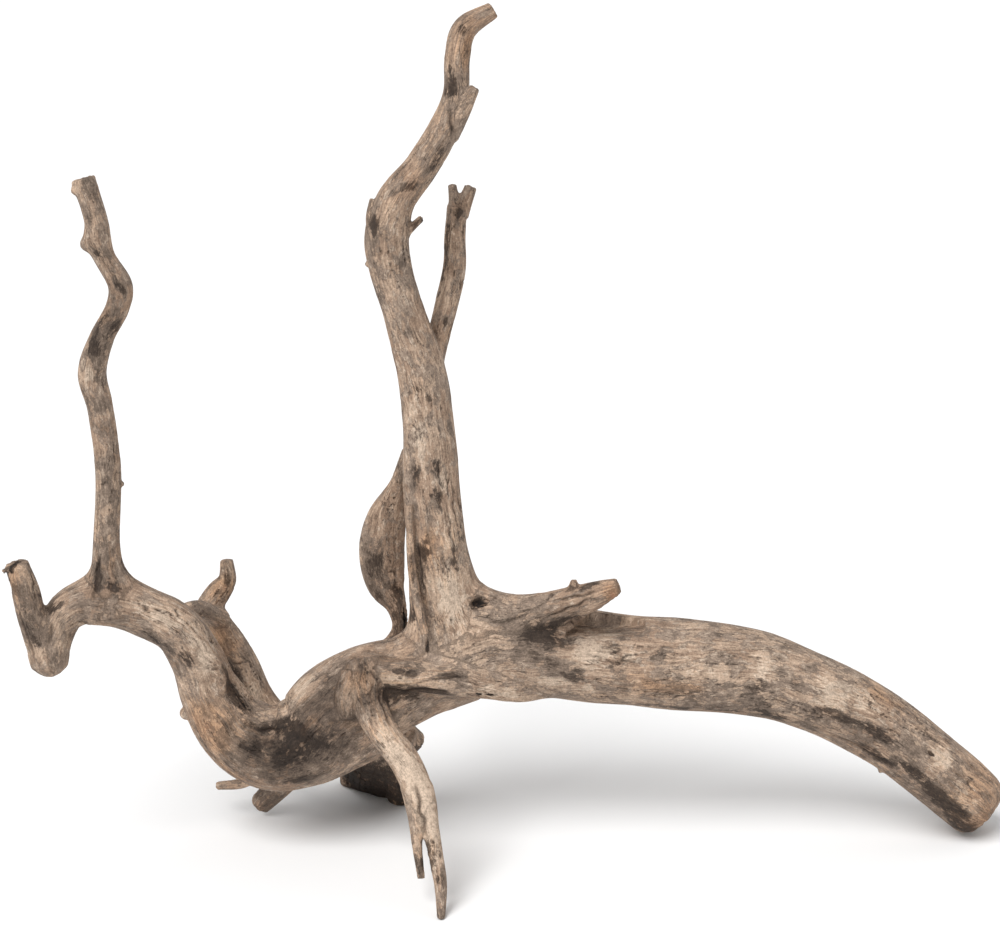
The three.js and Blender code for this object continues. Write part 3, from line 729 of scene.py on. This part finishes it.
def wood_material(colours):
    """Weathered wood: bare tan wood, partly under a thin grey skin, with dark stains and cracks, and painted
    shade under the limbs, on the buttresses, in the cracks and in the hollows. The two grain groups, one
    for each of the nearest limbs, are mixed before anything reads them."""
    material = bpy.data.materials.new("weathered_wood")
    material.use_nodes = True
    tree = material.node_tree
    tree.nodes.clear()
    n = Nodes(tree)
    group = grain_group()
    tones = {name: (*getattr(colours, name), 1.0) for name in WoodColours.__annotations__}

    def read(name):
        return n.add("Attribute", attribute_name=name)

    looks = []
    for name in ("grain_a", "grain_b"):
        placed = tree.nodes.new("ShaderNodeGroup")
        placed.node_tree = group
        tree.links.new(read(name).outputs["Vector"], placed.inputs[0])
        looks.append(placed)
    share = read("grain_mix").outputs["Fac"]
    hair, streak, patch, flake, crack = (
        n.between(share, looks[0].outputs[i], looks[1].outputs[i]) for i in range(5)
    )

    # marks stored on the vertices, and noises in the object's own coordinates
    names = ("cracked", "stain_and_shade", "soil_and_shade", "pale", "warm", "hollow_shade")
    pit, stain_and_shade, soil_and_shade, pale, warm, hollow_shade = (read(name).outputs["Fac"] for name in names)
    place = n.add("TexCoord").outputs["Object"]
    cloud, tint, mottle, pore = (
        n.add("TexNoise", {"Vector": place, "Scale": scale, "Detail": detail, "Roughness": 0.62}).outputs[0]
        for scale, detail in ((24.0, 5.0), (11.0, 3.0), (150.0, 5.0), (900.0, 2.0))
    )

    # bare wood, and the grey skin over it where it hasn't flaked off
    bleached = n.band(n.sum(cloud, n.around(streak, 0.8)), 0.36, 0.62)
    bare = n.mix(bleached, tones["bare_dark"], tones["bare_light"])
    thin_skin = n.band(n.sum(flake, n.around(mottle, 0.6)), 0.36, 0.62)
    grey = n.mix(thin_skin, tones["grey_dark"], tones["grey_light"])
    cover = n.sum(patch, n.around(cloud, 0.4), n.around(flake, 0.5), n.around(mottle, 0.4))
    cover = n.sum(cover, n.math("MULTIPLY", pale, -0.25), n.math("MULTIPLY", soil_and_shade, 0.1))
    skin = n.band(cover, 0.48, 0.535)
    colour = n.mix(n.math("MULTIPLY", skin, 0.88), bare, grey)

    # pale chips, rusty wood, soil and stains, both with painted shade, one over another
    chip = n.sum(flake, n.around(hair, 0.5), n.around(mottle, 0.5), n.math("MULTIPLY", pale, 0.4))
    colour = n.mix(n.math("MULTIPLY", n.band(chip, 0.58, 0.7), 0.7), colour, tones["chip"])
    rusty = n.band(n.sum(tint, n.math("MULTIPLY", warm, 0.4), n.around(streak, 0.6)), 0.52, 0.8)
    colour = n.mix(n.math("MULTIPLY", rusty, 0.7), colour, n.mix(1.0, colour, RUST, "MULTIPLY"))
    # painted shade and soil: the belly, the arm's underside and the buttresses darkened, with noisy soiled
    # patches
    dust_and_shade = n.sum(n.math("MULTIPLY", soil_and_shade, 0.8), n.around(cloud, 0.8), n.around(patch, 0.5))
    colour = n.mix(n.band(dust_and_shade, 0.0, 0.9), colour, n.mix(1.0, colour, SOIL_AND_SHADE_TINT, "MULTIPLY"))
    # stains, and painted shade under the front ridge, on the buttresses and between the toes, with ragged
    # edges
    stain_and_shade_mask = n.sum(n.around(patch, 2.0), n.around(flake, 1.8), n.around(mottle, 1.6), n.around(hair, 1.2))
    stain_and_shade_mask = n.sum(stain_and_shade_mask, stain_and_shade, n.math("MULTIPLY", n.band(tint, 0.54, 0.7), 0.35))
    colour = n.mix(n.band(stain_and_shade_mask, 0.4, 0.8), colour, n.mix(1.0, colour, STAIN_AND_SHADE_TINT, "MULTIPLY"))
    spots = n.band(n.sum(mottle, n.around(hair, 0.5), n.around(cloud, 0.4)), 0.6, 0.68)
    colour = n.mix(n.math("MULTIPLY", spots, 0.5), colour, n.mix(1.0, colour, STAIN_AND_SHADE_TINT, "MULTIPLY"))

    # painted shade in cracks, the reddest wood, and painted shade inside hollows with their torn fibres
    # painted shade in the cracks: the crack lines are coloured dark
    lines = n.math("MAXIMUM", crack, pit)
    colour = n.mix(n.math("MULTIPLY", lines, 0.75), colour, tones["crack"])
    colour = n.mix(n.math("MULTIPLY", n.band(warm, 0.7, 1.0), 0.55), colour, tones["broken"])
    # painted shade inside the hollows, streaked with lighter torn fibres
    torn = n.mix(n.band(streak, 0.46, 0.6), tones["hollow_shade"], tones["hollow_fibre"])
    colour = n.mix(n.band(n.sum(hollow_shade, n.around(mottle, 0.9)), 0.2, 0.6), colour, torn)

    # fine light and dark along the fibres and in the pores
    value = n.sum(n.around(hair, 1.2), n.around(streak, 0.5), n.around(mottle, 1.4), n.around(pore, 1.2), 1.0)
    colour = n.add("VectorMath", {0: colour, 3: value}, operation="SCALE").outputs[0]

    # the height of the same fibres, pores, skin and cracks
    height = n.sum(n.math("MULTIPLY", hair, 0.55), n.math("MULTIPLY", streak, 0.45), n.around(pore, 0.35))
    height = n.sum(height, n.around(mottle, 0.7), n.math("MULTIPLY", skin, 0.16))
    height = n.math("SUBTRACT", height, n.math("MULTIPLY", lines, 0.9))
    bump = n.add("Bump", {"Height": height, "Strength": 0.8, "Distance": 0.0012})
    shader = n.add("BsdfPrincipled", {
        "Base Color": colour, "Roughness": n.between(skin, 0.88, 0.76),
        "Normal": bump.outputs[0], "Specular IOR Level": 0.3,
    })
    out = n.add("OutputMaterial")
    tree.links.new(shader.outputs[0], out.inputs[0])
    return material


# ---------------------------------------------------------------------------------------------
# Settings, operators and panel
# ---------------------------------------------------------------------------------------------

class RootSettings(bpy.types.PropertyGroup):
    """Sizes of the root's surface."""

    voxel: bpy.props.FloatProperty(
        name="Sampling", description="Distance between the samples of the surface",
        default=0.001, min=0.0005, unit="LENGTH")
    triangles: bpy.props.IntProperty(
        name="Triangles", description="Most triangles that the finished surface may have",
        default=196000, min=1000)


class WoodColours(bpy.types.PropertyGroup):
    """Colours of the wood."""

    bare_dark: wood_colour("Bare wood, dark", "The darker parts of bare wood", 150, 126, 107)
    bare_light: wood_colour("Bare wood, light", "The bleached parts of bare wood", 184, 160, 139)
    grey_dark: wood_colour("Grey skin, dark", "The darker parts of the grey skin", 108, 94, 83)
    grey_light: wood_colour("Grey skin, light", "The paler parts of the grey skin", 146, 128, 113)
    chip: wood_colour("Chips", "Small pale chips", 204, 184, 164)
    # painted shade inside the cracks
    crack: wood_colour("Cracks", "Inside the cracks", 52, 41, 34)
    broken: wood_colour("Broken wood", "The reddest wood, as on a broken end", 150, 98, 74)
    # painted shade inside the hollows
    hollow_shade: wood_colour("Hollows", "Inside the hollows", 30, 23, 19)
    hollow_fibre: wood_colour("Hollow fibres", "Torn fibres inside the hollows", 86, 69, 56)


class StageSettings(bpy.types.PropertyGroup):
    """The floor, the lights and the camera."""

    floor_colour: bpy.props.FloatVectorProperty(
        name="Floor", description="Colour of the studio floor",
        default=(0.86, 0.86, 0.86), size=3, min=0, max=1, subtype="COLOR")
    floor_reach: bpy.props.FloatProperty(
        name="Floor reach", description="From the middle of the floor to its sides",
        default=60.0, unit="LENGTH")
    focal: bpy.props.FloatProperty(
        name="Focal length", description="Focal length of the camera on a 36 mm sensor", default=85.0)
    distance: bpy.props.FloatProperty(
        name="Distance", description="From the camera to the point it looks at",
        default=1.417, unit="LENGTH")
    height: bpy.props.FloatProperty(
        name="Elevation", description="How far the camera looks down",
        default=math.radians(18), subtype="ANGLE")
    target: bpy.props.FloatVectorProperty(
        name="Looks at", description="The point that the camera looks at",
        default=(-0.0117, 0.012, 0.25), size=3, subtype="TRANSLATION", unit="LENGTH")
    sky: bpy.props.FloatProperty(
        name="Sky", description="Strength of the light from all round", default=0.5, min=0)


# lamps: name, where the light comes from, its spread in degrees, its strength
LAMPS = (("key", (-0.55, -0.75, 1.2), 35, 2.9), ("side", (0.9, 0.5, 0.8), 60, 0.4))


class DRIFTWOOD_OT_root(bpy.types.Operator):
    """Grow the root: its surface, its relief and its material"""

    bl_idname = "driftwood.root"
    bl_label = "Grow root"

    def execute(self, context):
        settings = context.scene.driftwood_root
        voxel = settings.voxel / MM * 1
        points, quads = grow_surface(voxel)
        points = weather(points, quads)
        mesh = bpy.data.meshes.new("root_wood")
        mesh.vertices.add(len(points))
        mesh.vertices.foreach_set("co", (points * MM).astype(np.float32).ravel())
        mesh.loops.add(quads.size)
        mesh.loops.foreach_set("vertex_index", quads.astype(np.int32).ravel())
        mesh.polygons.add(len(quads))
        mesh.polygons.foreach_set("loop_start", np.arange(0, quads.size, 4, dtype=np.int32))
        mesh.update(calc_edges=True)
        piece = bpy.data.objects.new("root_wood", mesh)
        context.scene.collection.objects.link(piece)
        thin = piece.modifiers.new("thin", "DECIMATE")
        thin.ratio = min(1.0, settings.triangles / (2 * len(quads)))
        thin.use_collapse_triangulate = True
        finished = bpy.data.meshes.new_from_object(
            piece.evaluated_get(context.evaluated_depsgraph_get()))
        piece.modifiers.clear()
        piece.data = finished
        finished.name = "root_wood"
        finished.polygons.foreach_set("use_smooth", np.ones(len(finished.polygons), bool))
        place = np.empty(len(finished.vertices) * 3, np.float32)
        finished.vertices.foreach_get("co", place)
        place = place.reshape(-1, 3) / MM
        first, second, mix, rough, thick = lay_on_limbs(place)
        crack0 = relief(first, rough[0], thick[0])[1]
        crack1 = relief(second, rough[1], thick[1])[1]
        store(finished, "grain_a", "FLOAT_VECTOR", first)
        store(finished, "grain_b", "FLOAT_VECTOR", second)
        store(finished, "grain_mix", "FLOAT", mix)
        # the cracks, which the material paints dark as shade
        cracked = np.maximum(crack0 * (1 - mix) + crack1 * mix, cracks_at(place)[0])
        store(finished, "cracked", "FLOAT", cracked)
        # the stains and the soil, both carrying painted shade, each summed from its table's ovals
        for name, table in (("stain_and_shade", STAINS_AND_SHADE), ("soil_and_shade", SOIL_AND_SHADE_MARKS), ("pale", PALES), ("warm", WARMS)):
            store(finished, name, "FLOAT", marks_at(place, table))
        # each hollow's painted shade is an oval on its mouth
        pits = [
            (limb, at, side, 0.8 * (long + wide), 0.9 * wide, 1.0)
            for limb, at, side, _, long, wide in HOLLOWS
        ]
        store(finished, "hollow_shade", "FLOAT", marks_at(place, pits))
        finished.materials.append(wood_material(context.scene.driftwood_wood))
        print("root:", len(points), "samples,", len(finished.polygons), "triangles")
        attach(piece, "root")
        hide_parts(NODE)
        return {"FINISHED"}


class DRIFTWOOD_OT_stage(bpy.types.Operator):
    """Set up the floor, the lights and the camera"""

    bl_idname = "driftwood.stage"
    bl_label = "Set up the studio"

    def execute(self, context):
        settings = context.scene.driftwood_stage
        scene = context.scene
        scene.view_settings.view_transform = "Standard"
        r = settings.floor_reach
        mesh = bpy.data.meshes.new("floor")
        mesh.from_pydata([(-r, -r, 0), (r, -r, 0), (r, r, 0), (-r, r, 0)], [], [(0, 1, 2, 3)])
        floor = bpy.data.objects.new("floor", mesh)
        scene.collection.objects.link(floor)
        material = bpy.data.materials.new("studio_floor")
        material.use_nodes = True
        shader = material.node_tree.nodes["Principled BSDF"]
        shader.inputs["Base Color"].default_value = (*settings.floor_colour, 1)
        shader.inputs["Roughness"].default_value = 0.9
        mesh.materials.append(material)

        world = bpy.data.worlds.new("studio")
        world.use_nodes = True
        sky = world.node_tree.nodes["Background"]
        sky.inputs["Color"].default_value = (1, 1, 1, 1)
        sky.inputs["Strength"].default_value = settings.sky
        scene.world = world

        for name, source, spread, power in LAMPS:
            light = bpy.data.lights.new(name, "SUN")
            light.angle, light.energy = math.radians(spread), power
            lamp = bpy.data.objects.new(name, light)
            lamp.rotation_euler = Vector(source).to_track_quat("Z", "Y").to_euler()
            scene.collection.objects.link(lamp)

        lens = bpy.data.cameras.new("camera")
        lens.lens, lens.sensor_width = settings.focal, 36.0
        lens.clip_start, lens.clip_end = 0.05, 50
        camera = bpy.data.objects.new("camera", lens)
        view = Vector((0, math.cos(settings.height), -math.sin(settings.height)))
        camera.location = Vector(settings.target) - view * settings.distance
        camera.rotation_euler = view.to_track_quat("-Z", "Y").to_euler()
        scene.collection.objects.link(camera)
        scene.camera = camera
        return {"FINISHED"}


class DRIFTWOOD_PT_panel(bpy.types.Panel):
    """Steps and sizes of the driftwood root"""

    bl_idname = "DRIFTWOOD_PT_panel"
    bl_label = "Driftwood root"
    bl_space_type = "VIEW_3D"
    bl_region_type = "UI"
    bl_category = "Driftwood"

    def draw(self, context):
        scene = context.scene
        self.list_all(RootSettings, scene.driftwood_root)
        self.list_all(WoodColours, scene.driftwood_wood)
        self.layout.operator(DRIFTWOOD_OT_root.bl_idname)
        self.list_all(StageSettings, scene.driftwood_stage)
        self.layout.operator(DRIFTWOOD_OT_stage.bl_idname)

    def list_all(self, group, settings):
        """Lists every size and colour of a group."""
        for name in group.__annotations__:
            self.layout.prop(settings, name)


CLASSES = (
    RootSettings, WoodColours, StageSettings, DRIFTWOOD_OT_root, DRIFTWOOD_OT_stage, DRIFTWOOD_PT_panel,
)


def register():
    for item in CLASSES:
        bpy.utils.register_class(item)
    bpy.types.Scene.driftwood_root = bpy.props.PointerProperty(type=RootSettings)
    bpy.types.Scene.driftwood_wood = bpy.props.PointerProperty(type=WoodColours)
    bpy.types.Scene.driftwood_stage = bpy.props.PointerProperty(type=StageSettings)


def unregister():
    del bpy.types.Scene.driftwood_stage
    del bpy.types.Scene.driftwood_wood
    del bpy.types.Scene.driftwood_root
    for item in reversed(CLASSES):
        bpy.utils.unregister_class(item)


def main():
    register()
    bpy.ops.driftwood.root()
    bpy.ops.driftwood.stage()


if __name__ == "__main__":
    main()
